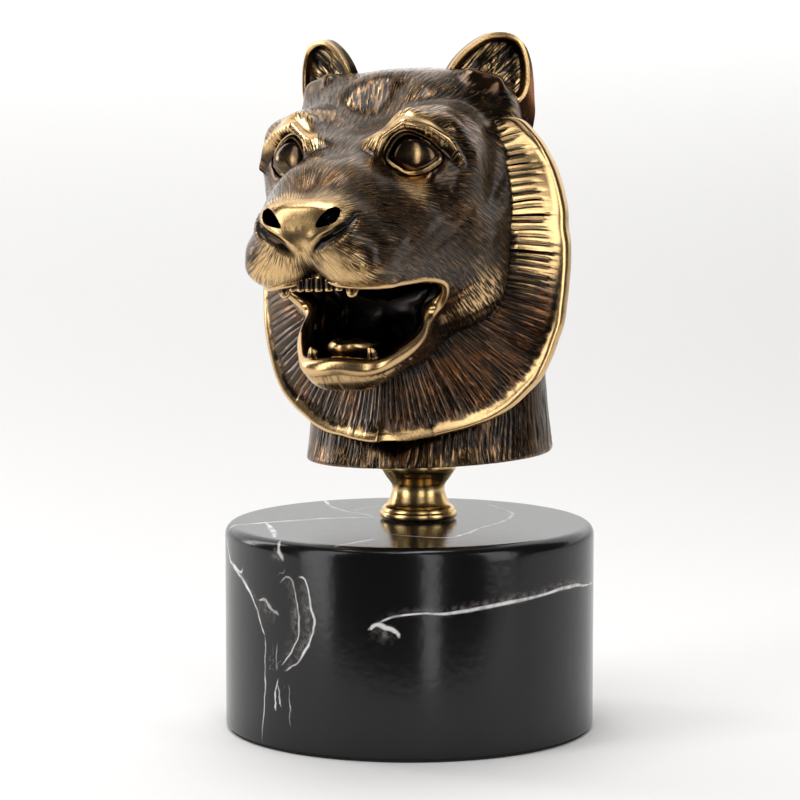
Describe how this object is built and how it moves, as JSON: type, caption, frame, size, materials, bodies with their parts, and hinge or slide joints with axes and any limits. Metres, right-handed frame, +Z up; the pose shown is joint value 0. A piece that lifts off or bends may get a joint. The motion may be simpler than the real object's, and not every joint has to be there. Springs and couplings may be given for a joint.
{
  "type": "chinese zodiac tiger head figure",
  "caption": "Cast bronze tiger head with open mouth and fluted ruff, on a turned brass spool and a round glossy black veined base.",
  "frame": {"origin": "centre of the base's underside, on the surface it stands on", "axes": "+Z up, the tiger looks along -Y, +X to the tiger's left"},
  "size_m": [0.085, 0.1051, 0.16],
  "materials": {
    "aged_bronze": "cast bronze, dark brown patina in the hollows, rubbed to satin gold on the high parts",
    "turned_brass": "turned, satin, a little darker in the corners",
    "black_marble": "polished black with thin white veins",
    "foam_pad": "matt"
  },
  "bodies": {
    "root": {"tiger_head": "aged_bronze", "spool": "turned_brass", "base": "black_marble", "foot_pad": "foam_pad"}
  },
  "joints": []
}
